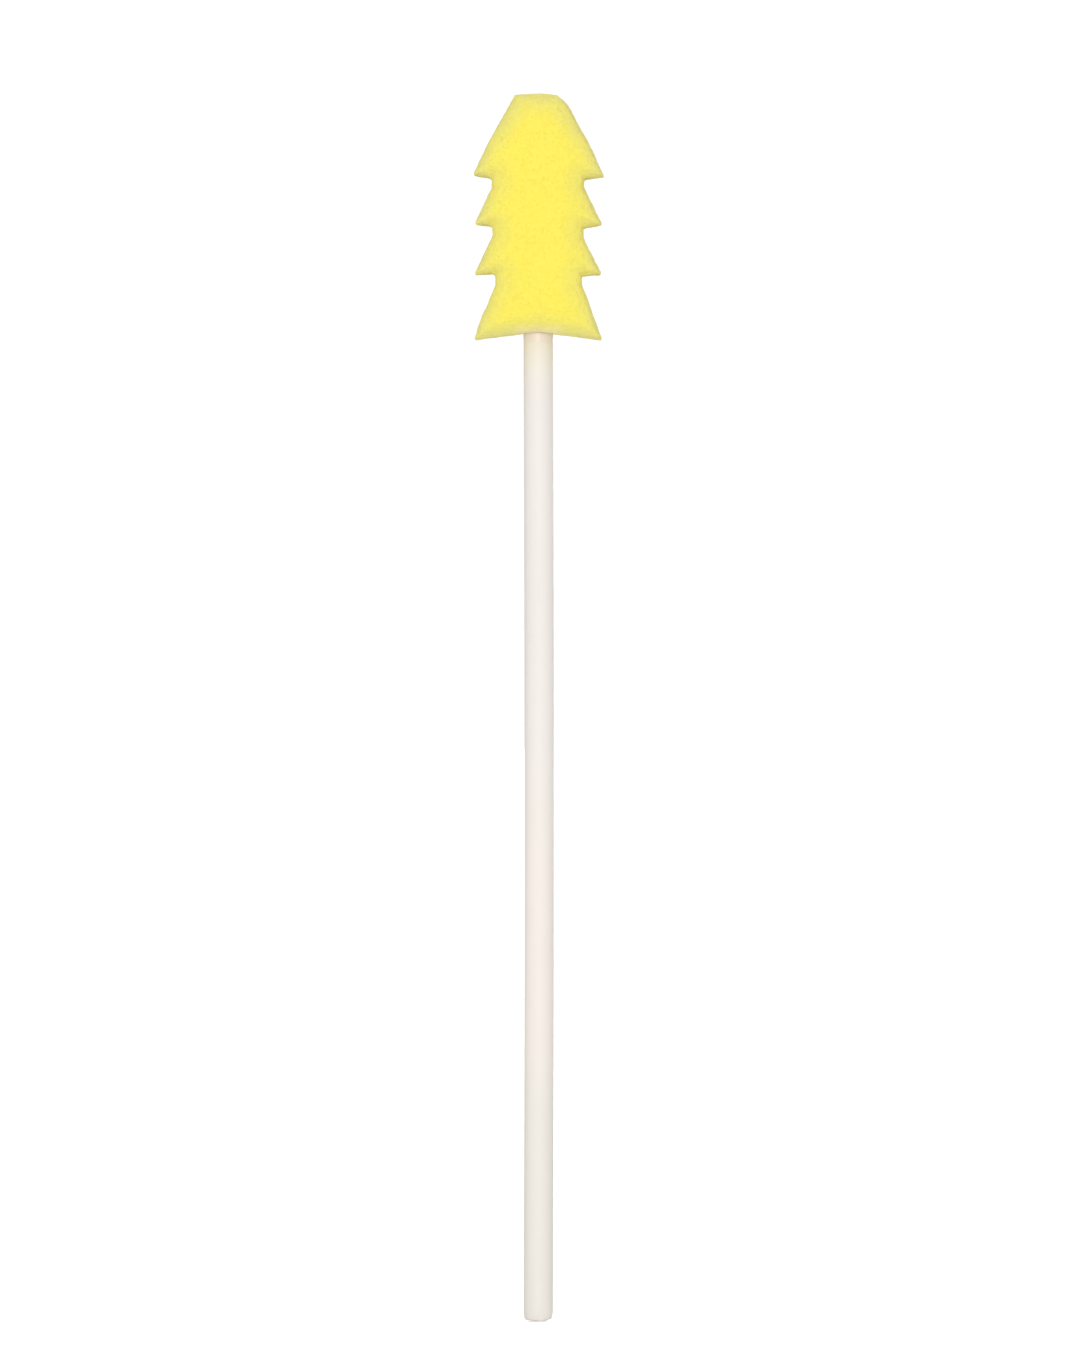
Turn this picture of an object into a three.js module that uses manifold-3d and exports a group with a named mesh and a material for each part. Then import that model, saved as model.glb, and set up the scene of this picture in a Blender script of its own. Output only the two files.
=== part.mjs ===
// Foam sponge brush: a tree-shaped block of soft open-cell foam, die-cut from thick sheet, on a plain
// plastic tube. The tube ends blind inside the foam and is held there by hot-melt glue.
//
// Frame, in millimetres: the tube's axis is Z, its cut butt end stands at z = 0 and the foam's crown is
// the highest point. X runs across the head, from tooth to tooth, and the head's front face looks to -Y.

import * as THREE from "three";
import { mergeVertices, toCreasedNormals } from "three/addons/utils/BufferGeometryUtils.js";
import Module from "manifold-3d";

// Driving dimensions.
const OVERALL_LENGTH = 150;
const HEAD_THICKNESS = 12;
const TUBE_DIAMETER = 3.6;
const TUBE_WALL = 0.85;
const TUBE_DEPTH_IN_HEAD = 22;

// The head's outline, tier by tier from the crown: how tall the tier is, how far its tooth reaches from
// the axis, and how far from the axis the notch below it is cut.
const TIERS = [
  { height: 10, tooth: 8.05, notch: 5.75 },
  { height: 6, tooth: 7.85, notch: 5.65 },
  { height: 6, tooth: 7.8, notch: 5.4 },
  { height: 8, tooth: 7.8 },
];
const CROWN_HALF_WIDTH = 3.1;
const CROWN_RISE = 0.25; // the crown is a shallow arc
const CROWN_ROUNDING = 0.8;
const TOOTH_ROUNDING = 0.12;
const NOTCH_ROUNDING = 0.35;
const NOTCH_DIP = 0.35; // a tooth's underside falls by this much from its tip to the notch
const NOTCH_WALL = 1; // the upright wall at the bottom of a notch
const HEM_RISE = 0.9; // the lower edge is a shallow arch from tooth to tooth

// Glue: a film round the tube, a cap over its blind end, and a plug that was pressed into its bore.
const GLUE_FILM = 0.3;
const GLUE_CAP = 0.7;
const GLUE_PLUG_DEPTH = 4;
const GLUE_SMEAR = 0.05; // what is left of the film where the foam closes on the tube
const GLUE_RUNOUT = 0.7; // the smear ends on the tube this far below the foam
const CLEARANCE = 0.05; // between two pieces that touch

// The socket is tight on the tube at its mouth, and opens to the glue film's width above it.
const MOUTH_DEPTH = 0.6;
const MOUTH_FLARE = 1.5;

// The butt end's outer edge is eased: a small chamfer, then a slight taper.
const BUTT_CHAMFER = 0.15;
const BUTT_TAPER = 0.12;
const BUTT_TAPER_LENGTH = 1;

const ROUND_SEGMENTS = 48;
const CORNER_STEPS = 4;
const ARC_STEP = 1; // between two points of a shallow arc: more than the roundings beside it
const CREASE_ANGLE = THREE.MathUtils.degToRad(25);

// Worked out from the dimensions above.
const tubeRadius = TUBE_DIAMETER / 2;
const boreRadius = tubeRadius - TUBE_WALL;
const headHeight = TIERS.reduce((sum, tier) => sum + tier.height, 0);
const headBase = OVERALL_LENGTH - headHeight;
const hemMiddle = headBase + HEM_RISE;
const tubeTop = headBase + TUBE_DEPTH_IN_HEAD;
const filmInside = tubeRadius + CLEARANCE;
const smearRadius = filmInside + GLUE_SMEAR;
const glueRadius = filmInside + GLUE_FILM;
const glueTop = tubeTop + CLEARANCE + GLUE_CAP;
const mouthTop = hemMiddle + MOUTH_DEPTH;
const flareTop = mouthTop + MOUTH_FLARE;
const mouthRadius = smearRadius + CLEARANCE;
const socketRadius = glueRadius + CLEARANCE;
const socketTop = glueTop + CLEARANCE;

const wasm = await Module();
wasm.setup();

const materials = {
  foam: new THREE.MeshStandardMaterial({ color: 0xfff062, roughness: 0.95, metalness: 0 }),
  tube: new THREE.MeshStandardMaterial({ color: 0xf4efe9, roughness: 0.45, metalness: 0 }),
  glue: new THREE.MeshStandardMaterial({ color: 0xefe3b4, roughness: 0.3, metalness: 0 }),
};

// Points on the arc that starts level at (0, apex) and ends at (halfWidth, edge), without its end point.
function archHalf(apex, edge, halfWidth) {
  const rise = apex - edge;
  const radius = (halfWidth ** 2 + rise ** 2) / (2 * rise);
  const sweep = Math.asin(halfWidth / radius);
  const steps = Math.floor(halfWidth / ARC_STEP);
  return Array.from({ length: steps }, (_, i) => {
    const angle = (sweep * i) / steps;
    return new THREE.Vector2(radius * Math.sin(angle), apex - radius * (1 - Math.cos(angle)));
  });
}

// Replaces the corner between two neighbours by a curve that starts and ends `cut` away from it.
function roundedCorner(before, corner, after, cut) {
  const start = corner.clone().add(before.clone().sub(corner).setLength(cut));
  const end = corner.clone().add(after.clone().sub(corner).setLength(cut));
  return new THREE.QuadraticBezierCurve(start, corner, end).getPoints(CORNER_STEPS);
}

// The corners of the right-hand side, from the crown down to the lowest tooth.
function sideCorners() {
  const corners = [
    { at: new THREE.Vector2(CROWN_HALF_WIDTH, OVERALL_LENGTH - CROWN_RISE), cut: CROWN_ROUNDING },
  ];
  let toothHeight = OVERALL_LENGTH;
  for (const { height, tooth, notch } of TIERS) {
    toothHeight -= height;
    corners.push({ at: new THREE.Vector2(tooth, toothHeight), cut: TOOTH_ROUNDING });
    if (notch) {
      const roof = toothHeight - NOTCH_DIP;
      corners.push({ at: new THREE.Vector2(notch, roof), cut: NOTCH_ROUNDING });
      corners.push({ at: new THREE.Vector2(notch, roof - NOTCH_WALL), cut: NOTCH_ROUNDING });
    }
  }
  return corners;
}

// The head's closed outline, anticlockwise.
function headOutline() {
  const crown = archHalf(OVERALL_LENGTH, OVERALL_LENGTH - CROWN_RISE, CROWN_HALF_WIDTH);
  const hem = archHalf(hemMiddle, headBase, TIERS.at(-1).tooth).reverse();
  const corners = sideCorners();
  const side = corners.flatMap(({ at, cut }, i) => {
    const before = i > 0 ? corners[i - 1].at : crown.at(-1);
    const after = i < corners.length - 1 ? corners[i + 1].at : hem[0];
    return roundedCorner(before, at, after, cut);
  });
  const right = [...crown, ...side, ...hem];
  const left = right.slice(1, -1).map((point) => new THREE.Vector2(-point.x, point.y));
  return new THREE.Shape([...right.reverse(), ...left]);
}

// A surface turned about Z from a profile of [radius, height] pairs, given anticlockwise.
function turned(profile) {
  const points = profile.map(([radius, height]) => new THREE.Vector2(radius, height));
  return new THREE.LatheGeometry(points, ROUND_SEGMENTS).rotateX(Math.PI / 2);
}

// The foam block before its socket is made: the outline carried through the sheet's thickness.
function foamBlock() {
  const block = new THREE.ExtrudeGeometry(headOutline(), { depth: HEAD_THICKNESS, bevelEnabled: false });
  return block.translate(0, 0, -HEAD_THICKNESS / 2).rotateX(Math.PI / 2);
}

// The blind socket for the glued tube, as the space that it takes out of the foam.
function socketSpace() {
  return turned([
    [0, headBase - 1],
    [mouthRadius, headBase - 1],
    [mouthRadius, mouthTop],
    [socketRadius, flareTop],
    [socketRadius, socketTop],
    [0, socketTop],
  ]);
}

// A closed geometry as a manifold-3d solid. Corners in the same place are made one, and the triangles
// that this leaves without any area, where a turned profile meets its axis, are dropped.
function solid(geometry) {
  geometry.deleteAttribute("normal");
  geometry.deleteAttribute("uv");
  const merged = mergeVertices(geometry);
  const corners = merged.index.array;
  const kept = [];
  for (let i = 0; i < corners.length; i += 3) {
    const triangle = corners.slice(i, i + 3);
    if (new Set(triangle).size === 3) kept.push(...triangle);
  }
  const vertProperties = merged.attributes.position.array;
  return new wasm.Manifold(new wasm.Mesh({ numProp: 3, vertProperties, triVerts: Uint32Array.from(kept) }));
}

// The foam block with its socket.
function foamHead() {
  const { vertProperties, triVerts } = solid(foamBlock()).subtract(solid(socketSpace())).getMesh();
  const geometry = new THREE.BufferGeometry();
  geometry.setAttribute("position", new THREE.BufferAttribute(vertProperties, 3));
  geometry.setIndex(new THREE.BufferAttribute(triVerts, 1));
  return geometry;
}

// The extruded tube, cut square at both ends. Its profile closes on itself round the bore.
function handleTube() {
  return turned([
    [boreRadius, 0],
    [tubeRadius - BUTT_TAPER - BUTT_CHAMFER, 0],
    [tubeRadius - BUTT_TAPER, BUTT_CHAMFER],
    [tubeRadius, BUTT_TAPER_LENGTH],
    [tubeRadius, tubeTop],
    [boreRadius, tubeTop],
    [boreRadius, 0],
  ]);
}

// One mass of glue: it fills the bore's blind end, folds over the tube's rim and runs down its outside,
// thinning to a smear at the socket's mouth.
function glueBond() {
  const plugRadius = boreRadius - CLEARANCE;
  const plugEnd = tubeTop - GLUE_PLUG_DEPTH;
  const runoutEnd = hemMiddle - GLUE_RUNOUT;
  return turned([
    [0, plugEnd + plugRadius / 2],
    [plugRadius * 0.7, plugEnd + plugRadius / 4],
    [plugRadius, plugEnd],
    [plugRadius, tubeTop + CLEARANCE],
    [filmInside, tubeTop + CLEARANCE],
    [filmInside, runoutEnd],
    [smearRadius, runoutEnd],
    [smearRadius, mouthTop],
    [glueRadius, flareTop],
    [glueRadius, tubeTop],
    [glueRadius - GLUE_CAP / 3, glueTop - GLUE_CAP / 4],
    [glueRadius - GLUE_CAP, glueTop],
    [0, glueTop],
  ]);
}

// A named piece, with its sharp edges kept sharp and its round faces smooth.
function piece(name, geometry, material) {
  const mesh = new THREE.Mesh(toCreasedNormals(geometry, CREASE_ANGLE), material);
  mesh.name = name;
  return mesh;
}

const brush = new THREE.Group();
brush.add(
  piece("foam_head", foamHead(), materials.foam),
  piece("handle_tube", handleTube(), materials.tube),
  piece("glue_bond", glueBond(), materials.glue),
);

export default brush;
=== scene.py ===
import math

import bmesh
import bpy
import numpy as np
from bpy.props import FloatProperty, FloatVectorProperty, PointerProperty
from bpy.types import Operator, Panel, PropertyGroup
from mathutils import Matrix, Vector


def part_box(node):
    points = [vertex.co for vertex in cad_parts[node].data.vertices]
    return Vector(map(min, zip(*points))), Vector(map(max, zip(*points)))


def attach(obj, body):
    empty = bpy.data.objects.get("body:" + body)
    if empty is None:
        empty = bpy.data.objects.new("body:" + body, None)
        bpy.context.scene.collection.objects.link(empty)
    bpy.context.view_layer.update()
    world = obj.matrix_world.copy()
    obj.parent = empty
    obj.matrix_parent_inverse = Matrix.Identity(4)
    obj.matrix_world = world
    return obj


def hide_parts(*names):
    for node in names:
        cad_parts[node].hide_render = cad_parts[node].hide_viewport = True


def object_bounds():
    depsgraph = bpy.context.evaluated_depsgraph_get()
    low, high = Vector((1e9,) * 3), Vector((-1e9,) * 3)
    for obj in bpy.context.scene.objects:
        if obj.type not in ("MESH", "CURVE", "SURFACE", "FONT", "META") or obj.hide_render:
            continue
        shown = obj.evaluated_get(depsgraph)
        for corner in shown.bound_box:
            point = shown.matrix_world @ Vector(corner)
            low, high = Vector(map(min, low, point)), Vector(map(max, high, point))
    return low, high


bl_info = {
    "name": "Foam sponge brush",
    "version": (1, 0, 0),
    "blender": (4, 5, 0),
    "location": "3D Viewport > Sidebar > Sponge Brush",
    "description": "Builds a small foam sponge brush: a toothed foam head glued on a plain plastic tube",
    "category": "Add Mesh",
}

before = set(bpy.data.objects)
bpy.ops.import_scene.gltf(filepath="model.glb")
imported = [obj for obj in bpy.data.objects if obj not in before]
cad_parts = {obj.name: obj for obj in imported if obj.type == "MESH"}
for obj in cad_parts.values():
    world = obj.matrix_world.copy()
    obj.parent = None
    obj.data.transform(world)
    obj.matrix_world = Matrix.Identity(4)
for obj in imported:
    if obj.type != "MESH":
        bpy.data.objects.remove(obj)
cad_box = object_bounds()
BODY = "root"

MM = 0.001

# Corners of the head's outline from the crown down, in millimetres: reach from the axis, height, and how
# far from the corner its rounding starts. The two sides differ a little, as soft foam cut in one stroke does.
RIGHT_CORNERS = (
    (2.30, 149.80, 0.50), (3.50, 148.75, 0.45), (5.95, 144.30, 1.80),
    (8.05, 140.00, 0.10), (5.55, 139.75, 0.40), (5.50, 138.60, 0.40),
    (7.75, 134.10, 0.10), (5.50, 133.75, 0.40), (5.50, 132.35, 0.45),
    (7.70, 128.05, 0.10), (5.30, 128.00, 0.50), (5.30, 126.65, 0.40),
    (6.60, 123.30, 1.20), (7.75, 120.10, 0.10),
)
LEFT_CORNERS = (
    (2.85, 149.85, 0.30), (3.40, 148.80, 0.50), (5.95, 144.30, 1.80),
    (7.95, 140.20, 0.10), (5.65, 139.85, 0.40), (5.65, 138.60, 0.40),
    (7.70, 134.15, 0.10), (5.65, 133.95, 0.45), (5.55, 132.75, 0.40),
    (7.75, 128.00, 0.10), (5.20, 128.20, 0.50), (5.20, 126.75, 0.40),
    (6.20, 124.30, 0.60), (7.10, 122.30, 0.70), (7.75, 120.10, 0.10),
)
CORNER_POINTS = 9  # points on each rounded corner
HEM_REACH = 7.0 * MM  # how far the face's inner columns spread at the hem, between tooth and notch
ARC_FADE = 6.0 * MM  # the crown's and the hem's arcs fade out of the face over this height

# The grid of the foam block, and the side of the quads that it is then drawn again with.
OUTLINE_STEP = 0.12 * MM
FACE_COLUMNS = 132
WALL_COLUMNS = 56
CAP_ROWS = 24
SOCKET_ROWS = 14
VOXEL = 0.12 * MM

# The socket: its gap round the tube at the mouth, its gap round the glue further in, and how far in from
# the mouth it starts and stops widening from the one to the other.
MOUTH_GAP = 0.06 * MM
SOCKET_GAP = 0.05 * MM
FLARE_START = 0.6 * MM
FLARE_END = 2.1 * MM

# The foam's openings. Radii are shares of the spacing. The voids' spacing and depth are in fine cells.
CELL_RADIUS = 0.52
VOID_SPACING = 4.2
VOID_RADIUS = 0.17
VOID_DEPTH = 1.8
VOID_SHARE = 0.35  # how many of the places for a void hold one
CELL_SEED = 3
VOID_SEED = 11
WAVES = ((0.05 * MM, 5 * MM, 21), (0.03 * MM, 1.6 * MM, 22))  # depth, wavelength and seed
MEAN_DEPTH = 0.055 * MM  # given back all over, so that the carved head keeps its size

# Tints: red, green and blue as shares of a piece's own colour.
EDGE_SHADE_SHEEN_TINT = (0.81, 0.875, 2.2)  # painted shade and painted sheen: the paler, greyer band along the foam's cut edges
PIT_SHADE_TINT = (0.90, 0.80, 0.55)  # painted shade in the foam's pits
EDGE_LINE_SHADE_TINT = (0.88, 0.86, 0.86)  # painted shade: the thin dark line along the foam's edge
MOUTH_LIGHT_TINT = (1.0, 0.98, 2.9)  # painted light: the paler foam round the tube's mouth, lifting the shade under the hem
SMEAR_TINT = (0.96, 0.955, 0.885)  # thin glue, on the tube's colour
TUBE_TINTS = (  # by the share of the tube's height; the warm, lighter stops from 0.822 up, just under the foam, are painted light
    (0.000, (0.898, 0.920, 0.868)),
    (0.185, (0.925, 0.948, 0.892)),
    (0.225, (1.000, 0.975, 0.935)),
    (0.400, (1.030, 1.000, 0.965)),
    (0.450, (1.000, 1.000, 0.970)),
    (0.550, (1.000, 1.000, 1.000)),
    (0.803, (1.000, 1.000, 1.000)),
    (0.822, (1.035, 1.040, 0.940)),
    (0.839, (1.065, 1.050, 0.895)),
    (1.000, (1.065, 1.040, 0.830)),
)
WHITE = (1.0, 1.0, 1.0, 1.0)

FLOOR_COLUMNS = 64

# Tube and glue.
TUBE_COLUMNS = 96
TUBE_ROWS = 110
BORE_ROWS = 40
GLUE_GAP = 0.05 * MM  # round the plug, and between the tube's end and the cap
FILM_SEAT = 0.02 * MM  # how deep the film is let into the tube, so that no gap shows at its thin end
SMEAR_WIDTH = 0.07 * MM  # thickness of the film at the socket's mouth, with what is let into the tube


# Sizes and colours


def node_size(node, axis):
    """The node's extent along an axis."""
    low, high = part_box(node)
    return high[axis] - low[axis]


class BRUSH_PG_head(PropertyGroup):
    """Sizes and colour of the foam head."""

    thickness: FloatProperty(
        name="Thickness", description="Thickness of the foam sheet that the head is cut from",
        default=node_size("foam_head", 1), min=0.004, unit="LENGTH", subtype="DISTANCE")
    edge_width: FloatProperty(
        name="Edge width", description="How far in from a cut edge the broad faces start to fall away",
        default=3.0 * MM, min=0.0001, unit="LENGTH", subtype="DISTANCE")
    edge_drop: FloatProperty(
        name="Edge drop", description="How far the broad faces have fallen at a cut edge",
        default=2.0 * MM, min=0.0, unit="LENGTH", subtype="DISTANCE")
    waist: FloatProperty(
        name="Waist", description="How far the cut sides pull in at half thickness",
        default=0.25 * MM, min=0.0, unit="LENGTH", subtype="DISTANCE")
    crown_rise: FloatProperty(
        name="Crown rise", description="Rise of the crown's arc over its ends",
        default=0.20 * MM, unit="LENGTH", subtype="DISTANCE")
    hem_rise: FloatProperty(
        name="Hem rise", description="How far the lower edge is drawn up round the tube",
        default=1.0 * MM, unit="LENGTH", subtype="DISTANCE")
    cell: FloatProperty(
        name="Cell size", description="Mean size of the foam's open cells",
        default=0.46 * MM, min=0.0001, unit="LENGTH", subtype="DISTANCE")
    cell_depth: FloatProperty(
        name="Cell depth", description="Depth of a cell that the cut opened at its middle",
        default=0.075 * MM, min=0.0, unit="LENGTH", subtype="DISTANCE")
    colour: FloatVectorProperty(
        name="Foam colour", description="Colour of the foam", size=3, subtype="COLOR",
        default=(0.828, 0.728, 0.095), min=0.0, max=1.0)


class BRUSH_PG_handle(PropertyGroup):
    """Sizes and colours of the tube and of the glue that holds it."""

    diameter: FloatProperty(
        name="Tube diameter", description="Outer diameter of the tube",
        default=node_size("handle_tube", 0), min=0.001, unit="LENGTH", subtype="DISTANCE")
    wall: FloatProperty(
        name="Tube wall", description="Wall thickness of the tube",
        default=0.85 * MM, min=0.0001, unit="LENGTH", subtype="DISTANCE")
    bow: FloatProperty(
        name="Bow", description="How far the tube's middle strays from a straight line",
        default=0.12 * MM, unit="LENGTH", subtype="DISTANCE")
    tube_colour: FloatVectorProperty(
        name="Tube colour", description="Colour of the tube", size=3, subtype="COLOR",
        default=(0.765, 0.7205, 0.6865), min=0.0, max=1.0)
    glue_colour: FloatVectorProperty(
        name="Glue colour", description="Colour of the glue", size=3, subtype="COLOR",
        default=(0.78, 0.665, 0.59), min=0.0, max=1.0)


class BRUSH_PG_stage(PropertyGroup):
    """Camera, light and floor."""

    distance: FloatProperty(
        name="Camera distance", description="From the camera to the head's front face",
        default=2.5, min=0.2, unit="LENGTH", subtype="DISTANCE")
    view_height: FloatProperty(
        name="View height", description="Height of what the camera takes in at that distance",
        default=164.74 * MM, min=0.01, unit="LENGTH", subtype="DISTANCE")
    floor_radius: FloatProperty(
        name="Floor radius", description="Radius of the round floor",
        default=20.0, min=0.5, unit="LENGTH", subtype="DISTANCE")
    floor_colour: FloatVectorProperty(
        name="Floor colour", description="Colour of the floor", size=3, subtype="COLOR",
        default=(0.94, 0.94, 0.94), min=0.0, max=1.0)


# Paths and noise, worked out on whole arrays


def rounded_path(corners):
    """A path through (reach, height, cut) corners, in metres. Each inner corner becomes the parabola that
    leaves one side `cut` before the corner and joins the next side `cut` after it."""
    corners = np.asarray(corners) * MM
    points, cuts = corners[:, :2], corners[1:-1, 2, None]
    before, corner, after = points[:-2], points[1:-1], points[2:]
    start = corner + (before - corner) * cuts / np.linalg.norm(before - corner, axis=1, keepdims=True)
    end = corner + (after - corner) * cuts / np.linalg.norm(after - corner, axis=1, keepdims=True)
    t = np.linspace(0.0, 1.0, CORNER_POINTS)[None, :, None]
    curve = (1 - t) ** 2 * start[:, None] + 2 * t * (1 - t) * corner[:, None] + t**2 * end[:, None]
    return np.concatenate([points[:1], curve.reshape(-1, 2), points[-1:]])


def resampled(path, count):
    """`count` points spaced evenly along a path, by interpolation on its running length."""
    length = np.concatenate([[0.0], np.cumsum(np.linalg.norm(np.diff(path, axis=0), axis=1))])
    where = np.linspace(0.0, length[-1], count)
    return np.stack([np.interp(where, length, path[:, k]) for k in range(2)], axis=1)


def path_length(path):
    """The sum of the distances between a path's points."""
    return float(np.linalg.norm(np.diff(path, axis=0), axis=1).sum())


def hashed(cells, seed):
    """Three numbers from 0 to 1 for each whole-numbered cell: the cell's numbers are mixed by multiplying
    with large odd numbers and folding the high bits down, and the last 24 bits are read as a fraction."""
    with np.errstate(over="ignore"):
        c = cells.astype(np.int64).astype(np.uint32)
        key = c[:, 0] * np.uint32(73856093) ^ c[:, 1] * np.uint32(19349663) ^ c[:, 2] * np.uint32(83492791)
        parts = []
        for k in range(3):
            h = key ^ np.uint32(seed * 7919 + k * 104729 + 1)
            h = (h ^ (h >> np.uint32(16))) * np.uint32(0x7FEB352D)
            h = (h ^ (h >> np.uint32(15))) * np.uint32(0x846CA68B)
            h = h ^ (h >> np.uint32(16))
            parts.append((h & np.uint32(0xFFFFFF)) / float(0x1000000))
    return np.stack(parts, axis=1)


def bubble_distance(points, size, seed, keep=1.0):
    """Distance from each point to the nearest bubble's centre, divided by `size`. Each cube of side `size`
    holds one centre at a hashed place in it, and a share `keep` of the cubes has a bubble at all."""
    scaled = points / size
    home = np.floor(scaled)
    nearest = np.full(len(points), 9.0)
    for offset in np.stack(np.meshgrid(*[(-1, 0, 1)] * 3, indexing="ij"), axis=-1).reshape(-1, 3):
        cell = home + offset
        centre = cell + 0.1 + 0.8 * hashed(cell, seed)
        distance = np.linalg.norm(scaled - centre, axis=1)
        if keep < 1.0:
            distance = np.where(hashed(cell, seed + 50)[:, 0] < keep, distance, 9.0)
        nearest = np.minimum(nearest, distance)
    return nearest


def ripple(points, wavelength, seed):
    """A smooth unevenness from about -1 to 1: the mean of eight plane sine waves whose directions and
    phases come from a seeded generator."""
    draw = np.random.default_rng(seed)
    direction = draw.normal(size=(8, 3))
    direction /= np.linalg.norm(direction, axis=1, keepdims=True)
    pitch = wavelength * draw.uniform(0.7, 1.4, 8)
    phase = draw.uniform(0.0, 2 * math.pi, 8)
    return np.sin(points @ direction.T * (2 * math.pi / pitch) + phase).mean(axis=1) * 1.6


def smooth_step(low, high, value):
    """0 below `low`, 1 above `high`, and the cubic 3t^2 - 2t^3 between them."""
    t = np.clip((value - low) / (high - low), 0.0, 1.0)
    return t * t * (3 - 2 * t)


# Meshes


def round_angles(count):
    """`count` angles spaced evenly round a circle, as one row."""
    return np.linspace(0.0, 2 * math.pi, count, endpoint=False)[None, :]


def grid_faces(rows, columns, wrap_rows=False):
    """Quads of a grid whose columns close on themselves, and whose rows do too if asked: each quad joins
    a point, the next in its row, and the two beside them in the next row."""
    row = np.arange(rows if wrap_rows else rows - 1)[:, None]
    column = np.arange(columns)[None, :]
    below, right = (row + 1) % rows, (column + 1) % columns
    quads = [row * columns + column, row * columns + right, below * columns + right, below * columns + column]
    return np.stack(quads, axis=-1).reshape(-1, 4)


def pole_faces(ring, pole):
    """Triangles from a closed ring of point numbers to one pole."""
    return np.stack([np.full(len(ring), pole), ring, np.roll(ring, 1)], axis=1)


def make_mesh(name, rows, wrap_rows=False, first_pole=None, last_pole=None):
    """A closed mesh from rows x columns x 3 points, with a fan to a single point at either end if given."""
    count, columns = rows.shape[:2]
    points = rows.reshape(-1, 3)
    faces = grid_faces(count, columns, wrap_rows).tolist()
    ring = np.arange(columns)
    for pole, fan in ((first_pole, ring), (last_pole, (ring + (count - 1) * columns)[::-1])):
        if pole is not None:
            faces += pole_faces(fan, len(points)).tolist()
            points = np.concatenate([points, [pole]])
    mesh = bpy.data.meshes.new(name)
    mesh.from_pydata(points, [], faces)
    mesh.update()
    return mesh


def read_points(mesh):
    """A mesh's points as an n x 3 array."""
    points = np.empty(len(mesh.vertices) * 3)
    mesh.vertices.foreach_get("co", points)
    return points.reshape(-1, 3)


def read_normals(mesh):
    """A mesh's point normals as an n x 3 array."""
    normals = np.empty(len(mesh.vertices) * 3)
    mesh.vertex_normals.foreach_get("vector", normals)
    return normals.reshape(-1, 3)


def volume_of(mesh):
    """Signed volume: a sixth of the sum of each triangle's triple product. Positive when faces look out."""
    mesh.calc_loop_triangles()
    corners = np.empty(len(mesh.loop_triangles) * 3, dtype=np.int32)
    mesh.loop_triangles.foreach_get("vertices", corners)
    a, b, c = read_points(mesh)[corners.reshape(-1, 3)].transpose(1, 0, 2)
    return float(np.einsum("ij,ij->i", a, np.cross(b, c)).sum() / 6)


def place_piece(name, mesh, material):
    """Puts a mesh into the scene as a finished piece at the origin, riding on the brush's one body."""
    if volume_of(mesh) <= 0:
        raise RuntimeError(f"{name}: the surface is inside out")
    mesh.name = name
    mesh.materials.clear()
    mesh.materials.append(material)
    mesh.polygons.foreach_set("use_smooth", [True] * len(mesh.polygons))
    piece = bpy.data.objects.new(name, mesh)
    bpy.context.scene.collection.objects.link(piece)
    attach(piece, BODY)
    return piece


# Materials


class Value:
    """A shader socket. Arithmetic on it adds Math nodes to its finish."""

    def __init__(self, finish, socket):
        self.finish = finish
        self.socket = socket

    def calc(self, operation, *operands):
        """The result of a Math node on these operands, which are values or numbers."""
        values = dict(enumerate(operands))
        return self.finish.add("ShaderNodeMath", {"operation": operation}, values)["Value"]

    def __add__(self, other):
        return self.calc("ADD", self, other)

    def __sub__(self, other):
        return self.calc("SUBTRACT", self, other)

    def __rsub__(self, other):
        return self.calc("SUBTRACT", other, self)

    def __mul__(self, other):
        return self.calc("MULTIPLY", self, other)

    def __truediv__(self, other):
        return self.calc("DIVIDE", self, other)

    def __rtruediv__(self, other):
        return self.calc("DIVIDE", other, self)

    __radd__, __rmul__ = __add__, __mul__

    def clamped(self, low=0.0, high=1.0):
        """The value, kept between two numbers."""
        return self.calc("MAXIMUM", self.calc("MINIMUM", self, high), low)


class Finish:
    """A node tree being filled. `add` takes a node's type, its settings and the values or links of its
    sockets, and returns its outputs by name."""

    def __init__(self, owner):
        owner.use_nodes = True
        self.tree = owner.node_tree
        self.tree.nodes.clear()

    def add(self, kind, settings=None, inputs=None):
        node = self.tree.nodes.new(kind)
        for key, value in (settings or {}).items():
            if key == "stops":
                self.set_stops(node.color_ramp, value)
            else:
                setattr(node, key, value)
        for key, value in (inputs or {}).items():
            if isinstance(value, Value):
                self.tree.links.new(value.socket, node.inputs[key])
            else:
                node.inputs[key].default_value = value
        return {out.name: Value(self, out) for out in node.outputs if out.enabled}

    @staticmethod
    def set_stops(ramp, stops):
        """Gives a ramp its (place, colour) stops."""
        while len(ramp.elements) < len(stops):
            ramp.elements.new(1.0)
        for element, (place, colour) in zip(ramp.elements, stops):
            element.position, element.color = place, colour

    def mixed(self, factor, first, second, blend="MIX"):
        """Two colours mixed by a factor."""
        settings = {"data_type": "RGBA", "blend_type": blend}
        return self.add("ShaderNodeMix", settings, {0: factor, 6: first, 7: second})["Result"]

    def attribute(self, name):
        """A number stored with each point of the piece."""
        return self.add("ShaderNodeAttribute", {"attribute_name": name})["Fac"]

    def stretched(self, where, scale):
        """Coordinates scaled along x, y and z."""
        return self.add("ShaderNodeMapping", None, {"Vector": where, "Scale": scale})["Vector"]

    def relief(self, height, depth, strength):
        """The normal of a surface that stands out by a height times `depth` metres."""
        inputs = {"Strength": strength, "Distance": depth, "Height": height}
        return self.add("ShaderNodeBump", None, inputs)["Normal"]

    def noise(self, where, size, detail=2.0, roughness=0.5):
        """Noise from 0 to 1 with lumps of about `size` metres."""
        inputs = {"Vector": where, "Scale": 1.0 / size, "Detail": detail, "Roughness": roughness}
        return self.add("ShaderNodeTexNoise", None, inputs)["Fac"]


def rgba(colour, gain=1.0):
    """A colour as four numbers, with its red, green and blue scaled."""
    return (*(min(c * gain, 1.0) for c in colour), 1.0)


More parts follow.
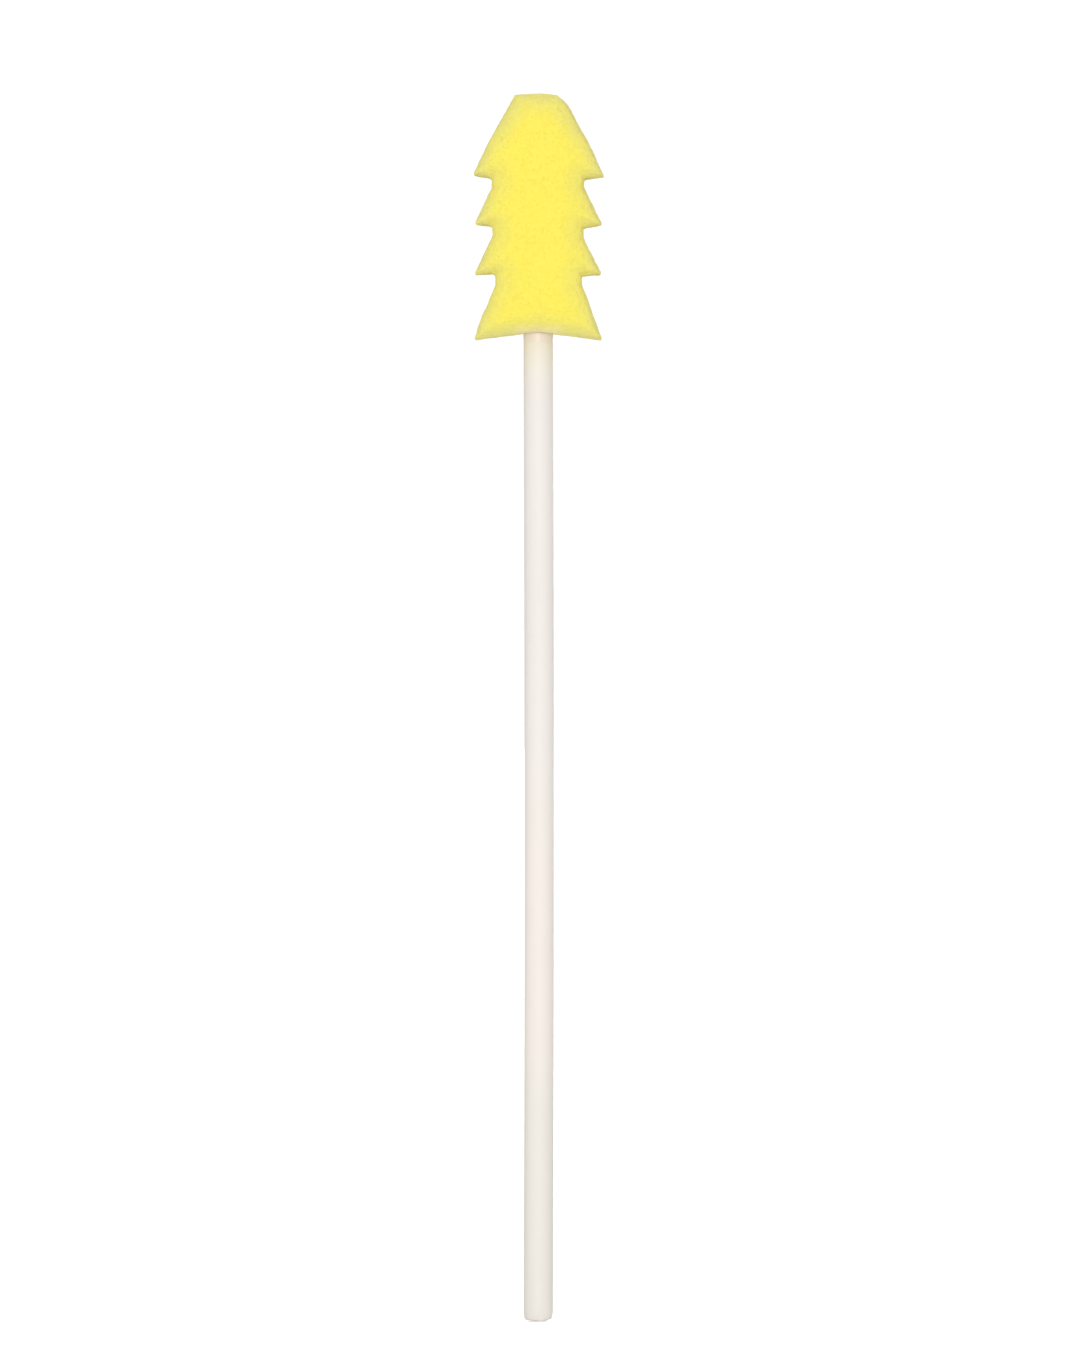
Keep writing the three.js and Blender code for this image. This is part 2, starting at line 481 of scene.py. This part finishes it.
def tinted(colour, tint):
    """A colour as four numbers, with its red, green and blue scaled by those of a tint."""
    return (*(c * t for c, t in zip(colour, tint)), 1.0)


def foam_finish(sizes):
    """Open-cell foam: fine cells as relief, with painted shade in their pits, a painted band of shade and
    sheen that turns the cut edges paler and duller, a painted dark edge line and painted light round the
    tube's mouth.
    """
    material = bpy.data.materials.new("soft_foam")
    f = Finish(material)
    where = f.add("ShaderNodeTexCoord")["Object"]
    pit, rim, lip, soak = (f.attribute(name) for name in ("pit", "rim", "lip", "soak"))
    jitter = f.add("ShaderNodeTexNoise", None, {"Vector": where, "Scale": 900.0, "Detail": 1.0})["Color"]
    sway = (0.22 * MM,) * 3
    warped = f.add("ShaderNodeVectorMath", {"operation": "MULTIPLY_ADD"}, {0: jitter, 1: sway, 2: where})
    per_metre = 1 / (0.62 * sizes.cell)
    inputs = {"Vector": warped["Vector"], "Scale": per_metre}
    fine = f.add("ShaderNodeTexVoronoi", {"feature": "F1"}, inputs)
    pinholes = 1 - (fine["Distance"] * 2.6).clamped()
    cloud = f.noise(where, 5 * MM, 3.0)
    grain = f.noise(where, 0.9 * MM, 2.0)
    mottle = (cloud * 0.7 + grain * 0.3).clamped()
    base = f.mixed(mottle, rgba(sizes.colour, 0.965), rgba(sizes.colour, 1.03))
    # painted shade and painted sheen: the paler, duller band along the cut edges
    base = f.mixed(rim * 0.7, base, tinted(sizes.colour, EDGE_SHADE_SHEEN_TINT))
    # painted shade in the pits and pinholes
    base = f.mixed((pit * 0.20 + pinholes * 0.18).clamped(), base, tinted(sizes.colour, PIT_SHADE_TINT))
    # painted shade: the thin dark line along the edge
    base = f.mixed(lip, base, (*EDGE_LINE_SHADE_TINT, 1.0), "MULTIPLY")
    # painted light round the tube's mouth
    base = f.mixed(soak * 0.85, base, tinted(sizes.colour, MOUTH_LIGHT_TINT))
    bump = f.relief((1 - pinholes) + grain * 0.4, 0.10 * MM, 0.5)
    shader = f.add("ShaderNodeBsdfPrincipled", {"subsurface_method": "RANDOM_WALK"}, {
        "Base Color": base, "Roughness": 0.86 + pit * 0.1, "IOR": 1.42, "Specular IOR Level": 0.25,
        "Subsurface Weight": 0.30, "Subsurface Radius": (1.0, 0.75, 0.25), "Subsurface Scale": 0.9 * MM,
        "Sheen Weight": 0.25, "Sheen Roughness": 0.6, "Sheen Tint": (1.0, 0.98, 0.88, 1.0), "Normal": bump})
    f.add("ShaderNodeOutputMaterial", None, {"Surface": shader["BSDF"]})
    return material


def tube_finish(sizes):
    """Extruded polypropylene: satin, milky, with faint lines along the pull and slow drifts of tone, darker
    towards the butt, and painted light in a warm, lighter band just under the foam.
    """
    material = bpy.data.materials.new("milky_plastic")
    f = Finish(material)
    where = f.add("ShaderNodeTexCoord")["Object"]
    lines = f.noise(f.stretched(where, (1.0, 1.0, 0.012)), 0.16 * MM, 2.0, 0.6)
    drift = f.noise(f.stretched(where, (0.4, 0.4, 1.0)), 26 * MM, 1.0)
    share = f.add("ShaderNodeSeparateXYZ", None, {"Vector": where})["Z"] / node_size("handle_tube", 2)
    # painted light: the ramp's warm, lighter stops just under the foam stand in for the foam's yellow bounce
    # light and lift the shade under the hem; lower down the tube is darker towards the butt
    stops = [(place, tinted(sizes.tube_colour, tint)) for place, tint in TUBE_TINTS]
    tone = f.add("ShaderNodeValToRGB", {"stops": stops}, {"Fac": share})["Color"]
    base = f.mixed((drift * 0.5 + lines * 0.35).clamped(), tone, rgba(sizes.tube_colour, 0.93))
    handling = f.noise(where, 3.5 * MM, 3.0, 0.6)
    bump = f.relief(lines + handling * 0.6, 0.03 * MM, 0.12)
    shader = f.add("ShaderNodeBsdfPrincipled", {"subsurface_method": "RANDOM_WALK"}, {
        "Base Color": base, "Roughness": (0.38 + handling * 0.16 + lines * 0.06).clamped(), "IOR": 1.49,
        "Specular IOR Level": 0.2, "Subsurface Weight": 0.12, "Subsurface Radius": (1.0, 0.9, 0.8),
        "Subsurface Scale": 0.3 * MM, "Normal": bump})
    f.add("ShaderNodeOutputMaterial", None, {"Surface": shader["BSDF"]})
    return material


def glue_finish(sizes):
    """Hot-melt glue: glossy, amber and cloudy where it is thick, nearly the tube's tone where it is thin."""
    material = bpy.data.materials.new("hot_melt_glue")
    f = Finish(material)
    where = f.add("ShaderNodeTexCoord")["Object"]
    cloud = f.noise(where, 1.2 * MM, 3.0)
    thick = f.mixed(cloud, rgba(sizes.glue_colour, 0.95), rgba(sizes.glue_colour, 1.05))
    base = f.mixed(f.attribute("body"), tinted(sizes.tube_colour, SMEAR_TINT), thick)
    bump = f.relief(cloud, 0.05 * MM, 0.2)
    shader = f.add("ShaderNodeBsdfPrincipled", None, {
        "Base Color": base, "Roughness": 0.32 + cloud * 0.12, "IOR": 1.48, "Normal": bump})
    f.add("ShaderNodeOutputMaterial", None, {"Surface": shader["BSDF"]})
    return material


# Foam head


def head_sides():
    """The outline's right and left sides as evenly spaced (reach, height) points, from crown to hem."""
    right, left = rounded_path(RIGHT_CORNERS), rounded_path(LEFT_CORNERS)
    count = int(round(path_length(right) / OUTLINE_STEP)) + 1
    return resampled(right, count), resampled(left, count)


def edge_distance(x, z, sizes):
    """Soft distance from a point of the broad face to the outline: the distances to the outline's straight
    pieces are combined as (sum of d^-k)^(-1/k), which is the least of them with its creases smoothed."""
    pieces = []
    for corners, side in ((RIGHT_CORNERS, 1), (LEFT_CORNERS, -1)):
        points = np.asarray(corners)[:, :2] * (side, 1.0) * MM
        crown = [(0.0, points[0, 1] + sizes.crown_rise)]
        hem = [(0.0, points[-1, 1] + sizes.hem_rise)]
        points = np.concatenate([crown, points, hem])
        pieces.append(np.concatenate([points[:-1], points[1:]], axis=1))
    power = 6.0
    least = 0.001 * MM  # keeps a point that lies on the outline from dividing by nothing
    here = np.stack([x, z], axis=-1).reshape(-1, 2)
    total = np.zeros(len(here))
    for start_x, start_z, end_x, end_z in np.concatenate(pieces):
        start, run = np.array((start_x, start_z)), np.array((end_x - start_x, end_z - start_z))
        share = np.clip((here - start) @ run / (run @ run), 0.0, 1.0)
        away = np.linalg.norm(here - start - share[:, None] * run, axis=1)
        total += np.maximum(away, least) ** -power
    return (total ** (-1 / power)).reshape(np.shape(x))


def fall(distance, sizes):
    """How far the broad face has fallen at a distance from the cut edge: a quarter of an ellipse."""
    t = 1 - np.clip(distance / sizes.edge_width, 0.0, 1.0)
    return sizes.edge_drop * (1 - np.sqrt(np.maximum(1 - t * t, 0.0)))


def head_block(sizes):
    """The foam block as one closed grid. A row is a loop round the block: front face, right wall, back face,
    left wall. Row by row the loops go from the crown's middle down the toothed sides to the hem, in to the
    socket's mouth and up to its blind end. On a face a point's x is its share of the row's reach, and its
    height is blended from an even spacing on the axis to the outline's own height at the edge."""
    right, left = head_sides()
    count = len(right)
    top, bottom = right[0, 1], right[-1, 1]
    u = np.linspace(-1.0, 1.0, FACE_COLUMNS)
    share = 0.35 * u + 0.65 * np.sin(u * math.pi / 2)
    steps = np.linspace(-1.0, 1.0, WALL_COLUMNS + 2)[1:-1]
    across = np.concatenate([share, np.ones(WALL_COLUMNS), share[::-1], -np.ones(WALL_COLUMNS)])
    through = np.concatenate([-np.ones(FACE_COLUMNS), steps, np.ones(FACE_COLUMNS), -steps])
    is_right = (across > 0)[None, :]
    reach = np.where(is_right, right[:, 0, None], left[:, 0, None])
    height = np.where(is_right, right[:, 1, None], left[:, 1, None])
    down = np.linspace(0.0, 1.0, count)[:, None]
    mean_reach = right[0, 0] + (HEM_REACH - right[0, 0]) * (1 - (1 - down) ** 2.2)
    blend = np.abs(across[None, :]) ** 3
    x = across[None, :] * (mean_reach * (1 - blend) + reach * blend)
    z = (top + (bottom - top) * down) * (1 - blend) + height * blend
    part = np.abs(across[None, :])
    z = z + sizes.crown_rise * (1 - part**2) * smooth_step(ARC_FADE, 0.0, top - height)
    z = z + sizes.hem_rise * (1 - part**1.2) * smooth_step(ARC_FADE, 0.0, height - bottom)
    half = sizes.thickness / 2
    depth = half - fall(edge_distance(x, z, sizes), sizes)
    y = through[None, :] * depth
    walls = np.abs(across) >= 1.0
    normal = outline_normals(right, left, is_right)
    pull = sizes.waist * (1 - through[None, :] ** 2) * walls[None, :]
    x, z = x - normal[..., 0] * pull, z - normal[..., 1] * pull
    side = np.stack([x, y, z], axis=-1)
    return np.concatenate([crown_rows(side[0]), side, socket_rows(side[-1], sizes)])


def outline_normals(right, left, is_right):
    """Outward normals of the outline, row by row: the run between a point's neighbours, turned a quarter."""
    normals = []
    for path, sign in ((right, 1.0), (left, -1.0)):
        run = np.gradient(path, axis=0)
        run /= np.linalg.norm(run, axis=1, keepdims=True)
        normals.append(np.stack([-run[:, 1] * sign, run[:, 0]], axis=1))
    return np.where(is_right[..., None], normals[0][:, None], normals[1][:, None])


def crown_rows(rim):
    """Loops that close the crown: the first side loop shrunk by k towards its middle. The height falls from
    the rim's highest point with the square of k to the rim's own height."""
    k = (np.arange(1, CAP_ROWS) / CAP_ROWS)[:, None]
    x, y = rim[None, :, 0] * k, rim[None, :, 1] * k
    apex = rim[:, 2].max()
    return np.stack([x, y, apex + (rim[None, :, 2] - apex) * k**2], axis=-1)


def socket_rows(rim, sizes):
    """Loops from the hem's edge in to the socket's mouth, then up its wall. Between edge and mouth a point
    moves straight towards the mouth's circle, at the height of the hem's arch over its x."""
    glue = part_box("glue_bond")[1]
    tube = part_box("handle_tube")[1]
    radius, end = glue[0] + SOCKET_GAP, glue[2] + SOCKET_GAP
    angle = np.arctan2(rim[:, 1], rim[:, 0])
    round_way = np.stack([np.cos(angle), np.sin(angle)], axis=1)
    mouth = round_way * (tube[0] + MOUTH_GAP)
    k = (np.arange(1, CAP_ROWS * 2 + 1) / (CAP_ROWS * 2))[:, None, None]
    flat = rim[None, :, :2] * (1 - k) + mouth[None] * k
    reach, edge = np.abs(rim[:, 0]).max(), rim[:, 2].min()
    z = edge + sizes.hem_rise * (1 - np.clip(np.abs(flat[..., 0]) / reach, 0.0, 1.0) ** 1.2)
    hem = np.concatenate([flat, z[..., None]], axis=-1)
    rise = np.linspace(0.0, 1.0, SOCKET_ROWS + 1)[1:, None]
    wall = np.empty((SOCKET_ROWS, len(rim), 3))
    wall[..., 2] = z[-1][None] + (end - z[-1][None]) * rise
    opened = smooth_step(FLARE_START, FLARE_END, wall[..., 2] - z[-1][None])[..., None]
    wall[..., :2] = mouth[None] * (1 - opened) + (round_way * radius)[None] * opened
    return np.concatenate([hem, wall])


def remeshed(mesh, voxel):
    """The same closed surface drawn again with even quads of side `voxel`."""
    holder = bpy.data.objects.new("holder", mesh)
    bpy.context.scene.collection.objects.link(holder)
    modifier = holder.modifiers.new("even", "REMESH")
    modifier.mode, modifier.voxel_size, modifier.adaptivity = "VOXEL", voxel, 0.0
    result = bpy.data.meshes.new_from_object(holder.evaluated_get(bpy.context.evaluated_depsgraph_get()))
    bpy.data.objects.remove(holder)
    bpy.data.meshes.remove(mesh)
    return result


def without_crumbs(mesh):
    """Leaves only the mesh's largest connected part, because remeshing a tight corner can split off a crumb.
    Each point's label starts as its own number. Both ends of every edge take the lower of their labels, and
    each label is swapped for its own point's label, until nothing changes."""
    ends = np.empty(len(mesh.edges) * 2, dtype=np.int32)
    mesh.edges.foreach_get("vertices", ends)
    first, second = ends.reshape(-1, 2).T
    label, lower = None, np.arange(len(mesh.vertices))
    while not np.array_equal(label, lower):
        label, lower = lower, lower.copy()
        lowest = np.minimum(label[first], label[second])
        np.minimum.at(lower, first, lowest)
        np.minimum.at(lower, second, lowest)
        lower = lower[lower]
    crumbs = np.flatnonzero(label != np.bincount(label).argmax())
    shape = bmesh.new()
    shape.from_mesh(mesh)
    shape.verts.ensure_lookup_table()
    bmesh.ops.delete(shape, geom=[shape.verts[k] for k in crumbs], context="VERTS")
    shape.to_mesh(mesh)
    shape.free()


def open_cells(points, normals, sizes):
    """Moves each point in along its normal. A cell is a bubble that the knife cut open: at a share d of the
    bubble's radius from its centre its floor lies sqrt(1 - d^2) deep. Fine cells cover everything, a few
    larger voids lie among them, and the whole surface waves a little. The socket's wall is left alone.
    Returns the points, and how deep in a pit each one is."""
    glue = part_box("glue_bond")[1]
    cells = bubble_distance(points, sizes.cell, CELL_SEED) / CELL_RADIUS
    voids = bubble_distance(points, VOID_SPACING * sizes.cell, VOID_SEED, VOID_SHARE) / VOID_RADIUS
    fine, large = (np.sqrt(np.maximum(1 - share**2, 0.0)) for share in (cells, voids))
    off_axis = np.hypot(points[:, 0], points[:, 1])
    free = smooth_step(glue[0] + 0.1 * MM, glue[0] + 0.5 * MM, off_axis)
    free = np.where(points[:, 2] > glue[2] + 0.5 * MM, 1.0, free)
    depth = sizes.cell_depth * (fine + VOID_DEPTH * large) - MEAN_DEPTH
    for wave_depth, wavelength, seed in WAVES:
        depth = depth + wave_depth * ripple(points, wavelength, seed)
    pit = np.clip(fine * 0.7 + large * 0.5, 0.0, 1.0) * free
    return points - normals * (depth * free)[:, None], pit


def painted_light_marks(points, normals, sizes):
    """How strongly each point takes the painted light and shade, from 0 to 1. The rim, a painted band of
    shade and sheen that turns the edge paler and greyer, grows from the edge width outwards to the outline:
    fully on the crown, the hem and the teeth's tips, less between the teeth and least on the walls. The edge
    line is painted shade, a thin dark line where the face turns into the flank's wall. It is stronger on the
    right, the side away from the light, faint under the teeth and absent along the crown. The mouth light is
    painted
    light: paler foam round the tube's mouth that lifts the shade under the hem."""
    x, away, height = points[:, 0], np.abs(points[:, 1]), points[:, 2]
    distance = edge_distance(x, height, sizes)
    wall_edge = sizes.thickness / 2 - sizes.edge_drop
    low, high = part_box("foam_head")
    below_top, above_base = high[2] - height, height - low[2]
    tips = smooth_step(5.0 * MM, 7.0 * MM, np.abs(x))
    crown = smooth_step(7.5 * MM, 3.5 * MM, below_top)
    foot = smooth_step(2.6 * MM, 1.2 * MM, above_base)
    band_full = np.maximum(tips, np.maximum(crown, foot))
    # painted shade and painted sheen: the paler, greyer edge band, at full strength on the crown, the hem and
    # the teeth's tips
    rim = smooth_step(sizes.edge_width, 0.0, distance) * (0.55 + 0.45 * band_full)
    rim = rim * (0.35 + 0.65 * smooth_step(wall_edge - 2.5 * MM, wall_edge + 1.0 * MM, away))
    lean = normals[:, 2] / np.maximum(np.hypot(normals[:, 0], normals[:, 2]), 1e-6)
    # painted shade: the thin dark line at the face's edge, stronger on the right, the side away from the
    # light
    lip = smooth_step(0.45 * MM, 0.10 * MM, distance) * smooth_step(0.5 * MM, 1.5 * MM, below_top)
    lip = lip * smooth_step(wall_edge - 0.4 * MM, wall_edge + 0.6 * MM, away)
    lip = lip * (0.15 + 0.85 * smooth_step(-0.8, -0.3, lean)) * (0.62 + 0.38 * np.tanh(x / MM))
    # painted light: paler foam round the tube's mouth, lifting the shade under the hem
    hem = height.min() + sizes.hem_rise
    soak = smooth_step(1.1 * MM, 0.0, height - hem) * smooth_step(4.0 * MM, 1.6 * MM, np.abs(x))
    return rim, lip, soak


def set_attribute(mesh, name, values):
    """Stores one number per point under a name that a material can read."""
    mesh.attributes.new(name, "FLOAT", "POINT").data.foreach_set("value", values.astype(np.float32))


class BRUSH_OT_foam_head(Operator):
    """Build the foam head"""

    bl_idname = "brush.foam_head"
    bl_label = "Foam Head"

    def execute(self, context):
        sizes = context.scene.brush_head
        rows = head_block(sizes)
        crown, blind = rows[0].mean(axis=0), rows[-1].mean(axis=0)
        block = make_mesh("block", rows, first_pole=crown, last_pole=blind)
        mesh = remeshed(block, VOXEL)
        without_crumbs(mesh)
        points, normals = read_points(mesh), read_normals(mesh)
        rim, lip, soak = painted_light_marks(points, normals, sizes)
        points, pit = open_cells(points, normals, sizes)
        mesh.vertices.foreach_set("co", points.ravel())
        mesh.update()
        for name, values in (("pit", pit), ("rim", rim), ("lip", lip), ("soak", soak)):
            set_attribute(mesh, name, values)
        piece = place_piece("toothed_foam", mesh, foam_finish(sizes))
        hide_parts("foam_head")
        return {"FINISHED"}


# Tube and glue


def bowed(z, sizes):
    """How far the tube's axis strays in x at a height: half a sine wave between the ends of the free tube."""
    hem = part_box("foam_head")[0][2]
    return sizes.bow * np.sin(np.clip(z / hem, 0.0, 1.0) * math.pi)


def butt_cut(x):
    """How far the butt's cut rises at an x: two slopes that meet a little right of the axis."""
    ridge = 0.57 * MM
    left_slope, right_slope = 0.078, 0.27
    return np.where(x < ridge, (ridge - x) * left_slope, (x - ridge) * right_slope)


def tube_rows(sizes):
    """The tube as a closed profile carried round its axis: up the outside from the eased butt, over the
    top's rim, down the bore and out over the cut. Each ring is moved sideways by the bow at its height."""
    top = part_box("handle_tube")[1][2]
    outer = sizes.diameter / 2
    bore = outer - sizes.wall
    ease = np.linspace(0.0, 1.0, 7)
    profile = [(outer - 0.27 * MM, 0.00), (outer - 0.22 * MM, 0.01 * MM), (outer - 0.13 * MM, 0.11 * MM)]
    profile += [(outer - 0.11 * MM * (1 - t) ** 1.6, 0.16 * MM + 1.1 * MM * t) for t in ease]
    profile += [(outer, z) for z in np.linspace(1.6 * MM, top - 0.25 * MM, TUBE_ROWS)]
    profile += [(outer - 0.06 * MM, top - 0.06 * MM), (outer - 0.2 * MM, top)]
    profile += [(bore + 0.1 * MM, top), (bore, top - 0.08 * MM)]
    profile += [(bore, z) for z in np.linspace(top - 1 * MM, 0.6 * MM, BORE_ROWS)]
    profile += [(bore, 0.08 * MM), (bore + 0.06 * MM, 0.01 * MM), (bore + 0.2 * MM, 0.0)]
    radius, z = np.asarray(profile).T[:, :, None]
    angle = round_angles(TUBE_COLUMNS)
    x, y = radius * np.cos(angle), radius * np.sin(angle)
    z = z + butt_cut(x) * smooth_step(2.0 * MM, 0.0, z)
    return np.stack([x + bowed(z, sizes), y, z], axis=-1)


class BRUSH_OT_handle_tube(Operator):
    """Build the handle's tube"""

    bl_idname = "brush.handle_tube"
    bl_label = "Handle Tube"

    def execute(self, context):
        sizes = context.scene.brush_handle
        mesh = make_mesh("tube", tube_rows(sizes), wrap_rows=True)
        piece = place_piece("plain_tube", mesh, tube_finish(sizes))
        mesh.set_sharp_from_angle(angle=math.radians(50))
        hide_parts("handle_tube")
        return {"FINISHED"}


def glue_rows(sizes):
    """The glue as a profile carried round the axis: from the plug's end in the bore, up the plug, out under
    the cap, down the inside of the film to its run-out, up the outside and over the cap. The run-out's end
    waves round the tube. Returns the rings and each ring's height before the waving."""
    low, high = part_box("glue_bond")
    tube_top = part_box("handle_tube")[1][2] + GLUE_GAP
    inner, outer = sizes.diameter / 2 - FILM_SEAT, high[0]
    bore = sizes.diameter / 2 - sizes.wall - GLUE_GAP
    lid, plug = high[2], high[2] - 4.6 * MM
    end, closed, opened = low[2] - 0.6 * MM, low[2] + 1.3 * MM, low[2] + 2.8 * MM
    smear = inner + SMEAR_WIDTH
    profile = [(bore * 0.35, plug + 0.42 * MM), (bore * 0.7, plug + 0.22 * MM), (bore, plug)]
    profile += [(bore, z) for z in np.linspace(plug + 0.6 * MM, tube_top, 6)]
    profile += [(r, tube_top) for r in np.linspace(bore + 0.2 * MM, inner, 4)]
    profile += [(inner, z) for z in np.linspace(tube_top - 1 * MM, end, 20)]
    profile += [(inner + SMEAR_WIDTH * t**0.5, end + (closed - end) * t) for t in np.linspace(0.02, 1.0, 16)]
    profile += [(smear + (outer - smear) * t, closed + (opened - closed) * t) for t in (0.25, 0.5, 0.75, 1.0)]
    profile += [(outer, z) for z in np.linspace(opened + 1 * MM, lid - 0.75 * MM, 16)]
    profile += [(outer - 0.1 * MM, lid - 0.4 * MM), (outer - 0.4 * MM, lid - 0.12 * MM)]
    profile += [(outer - 0.9 * MM, lid), (outer * 0.3, lid)]
    radius, z = np.asarray(profile).T[:, :, None]
    angle = round_angles(TUBE_COLUMNS)
    wave = 0.20 * np.sin(2 * angle + 0.6) + 0.12 * np.sin(5 * angle + 2.1) + 0.06 * np.sin(9 * angle)
    waved = z + wave * MM * smooth_step(closed, end, z)
    x = radius * np.cos(angle) + bowed(waved, sizes)
    return np.stack([x, radius * np.sin(angle), waved], axis=-1), z[:, 0]


class BRUSH_OT_glue_bond(Operator):
    """Build the glue between tube and foam"""

    bl_idname = "brush.glue_bond"
    bl_label = "Glue Bond"

    def execute(self, context):
        sizes = context.scene.brush_handle
        rows, heights = glue_rows(sizes)
        plug_end, lid = ((0.0, 0.0, rows[k, :, 2].mean()) for k in (0, -1))
        mesh = make_mesh("glue", rows, first_pole=plug_end, last_pole=lid)
        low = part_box("glue_bond")[0][2]
        body = smooth_step(low - 1.0 * MM, low + 0.8 * MM, heights)
        set_attribute(mesh, "body", np.append(np.repeat(body, TUBE_COLUMNS), (1.0, 1.0)))
        piece = place_piece("glue_film", mesh, glue_finish(sizes))
        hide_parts("glue_bond")
        return {"FINISHED"}


# Stage


def add_sun(name, direction, strength, spread):
    """A soft white sun that shines along a direction."""
    light = bpy.data.lights.new(name, "SUN")
    light.energy, light.angle = strength, math.radians(spread)
    lamp = bpy.data.objects.new(name, light)
    lamp.rotation_mode = "QUATERNION"
    lamp.rotation_quaternion = Vector(direction).to_track_quat("-Z", "Y")
    bpy.context.scene.collection.objects.link(lamp)


def studio_world():
    """A white surround, brighter on the camera's side than behind the brush, so that round edges darken. It
    is lit less strongly than it looks, so that the key still shapes the brush."""
    world = bpy.data.worlds.new("studio")
    bpy.context.scene.world = world
    f = Finish(world)
    heading = f.add("ShaderNodeTexCoord")["Generated"]
    behind = (f.add("ShaderNodeSeparateXYZ", None, {"Vector": heading})["Y"] * 2).clamped(-1.0, 1.0)
    light = f.add("ShaderNodeBackground", None, {"Color": WHITE, "Strength": 0.75 - behind * 0.20})
    backdrop = f.add("ShaderNodeBackground", None, {"Color": WHITE, "Strength": 1.05})
    seen = f.add("ShaderNodeLightPath")["Is Camera Ray"]
    both = f.add("ShaderNodeMixShader", None, {0: seen, 1: light["Background"], 2: backdrop["Background"]})
    f.add("ShaderNodeOutputWorld", None, {"Surface": both["Shader"]})


def floor_finish(colour):
    """Pale matt board, with a little glow of its own where it is looked at."""
    material = bpy.data.materials.new("pale_board")
    f = Finish(material)
    where = f.add("ShaderNodeTexCoord")["Object"]
    base = f.mixed(f.noise(where, 60 * MM), rgba(colour, 0.995), rgba(colour, 1.005))
    board, glowing = (
        f.add("ShaderNodeBsdfPrincipled", None, {
            "Base Color": base, "Roughness": 0.6, "Emission Color": WHITE,
            "Emission Strength": glow})["BSDF"] for glow in (0.0, 0.26))
    seen = f.add("ShaderNodeLightPath")["Is Camera Ray"]
    both = f.add("ShaderNodeMixShader", None, {0: seen, 1: board, 2: glowing})
    f.add("ShaderNodeOutputMaterial", None, {"Surface": both["Shader"]})
    return material


class BRUSH_OT_stage(Operator):
    """Build the floor, the light and the camera"""

    bl_idname = "brush.stage"
    bl_label = "Stage"

    def execute(self, context):
        sizes = context.scene.brush_stage
        low, high = cad_box
        angle = round_angles(FLOOR_COLUMNS)
        radius = np.array((0.05, 0.3, 1.5, sizes.floor_radius))[:, None]
        rings = np.stack([radius * np.cos(angle), radius * np.sin(angle), 0 * radius * angle], axis=-1)
        mesh = make_mesh("floor", rings, first_pole=(0.0, 0.0, 0.0))
        mesh.flip_normals()
        mesh.materials.append(floor_finish(sizes.floor_colour))
        floor = bpy.data.objects.new("floor", mesh)
        context.scene.collection.objects.link(floor)
        studio_world()
        add_sun("key", (0.06, 1.0, -0.07), 1.10, 8)
        add_sun("rear", (-0.25, -1.0, -0.35), 1.2, 40)
        context.scene.view_settings.view_transform = "Standard"
        camera = bpy.data.cameras.new("camera")
        camera.sensor_width = 36.0
        camera.lens = camera.sensor_width * sizes.distance / sizes.view_height
        viewer = bpy.data.objects.new("camera", camera)
        aside, above_middle = 0.21 * MM, 4.03 * MM
        viewer.location = (aside, low.y - sizes.distance, high.z / 2 + above_middle)
        viewer.rotation_euler = (math.pi / 2, 0.0, 0.0)
        context.scene.collection.objects.link(viewer)
        context.scene.camera = viewer
        return {"FINISHED"}


class BRUSH_PT_panel(Panel):
    """Sizes, colours and build steps of the brush"""

    bl_idname = "BRUSH_PT_panel"
    bl_label = "Sponge Brush"
    bl_space_type = "VIEW_3D"
    bl_region_type = "UI"
    bl_category = "Sponge Brush"

    def draw(self, context):
        for group, steps in (
            ("brush_head", ("foam_head",)),
            ("brush_handle", ("handle_tube", "glue_bond")),
            ("brush_stage", ("stage",)),
        ):
            box = self.layout.box()
            settings = getattr(context.scene, group)
            for name in settings.__annotations__:
                box.prop(settings, name)
            for step in steps:
                box.operator(f"brush.{step}")


CLASSES = (
    BRUSH_PG_head, BRUSH_PG_handle, BRUSH_PG_stage,
    BRUSH_OT_foam_head, BRUSH_OT_handle_tube, BRUSH_OT_glue_bond, BRUSH_OT_stage,
    BRUSH_PT_panel,
)


def register():
    for cls in CLASSES:
        bpy.utils.register_class(cls)
    bpy.types.Scene.brush_head = PointerProperty(type=BRUSH_PG_head)
    bpy.types.Scene.brush_handle = PointerProperty(type=BRUSH_PG_handle)
    bpy.types.Scene.brush_stage = PointerProperty(type=BRUSH_PG_stage)


def unregister():
    for name in ("brush_stage", "brush_handle", "brush_head"):
        delattr(bpy.types.Scene, name)
    for cls in reversed(CLASSES):
        bpy.utils.unregister_class(cls)


def main():
    register()
    bpy.ops.brush.foam_head()
    bpy.ops.brush.handle_tube()
    bpy.ops.brush.glue_bond()
    bpy.ops.brush.stage()


if __name__ == "__main__":
    main()
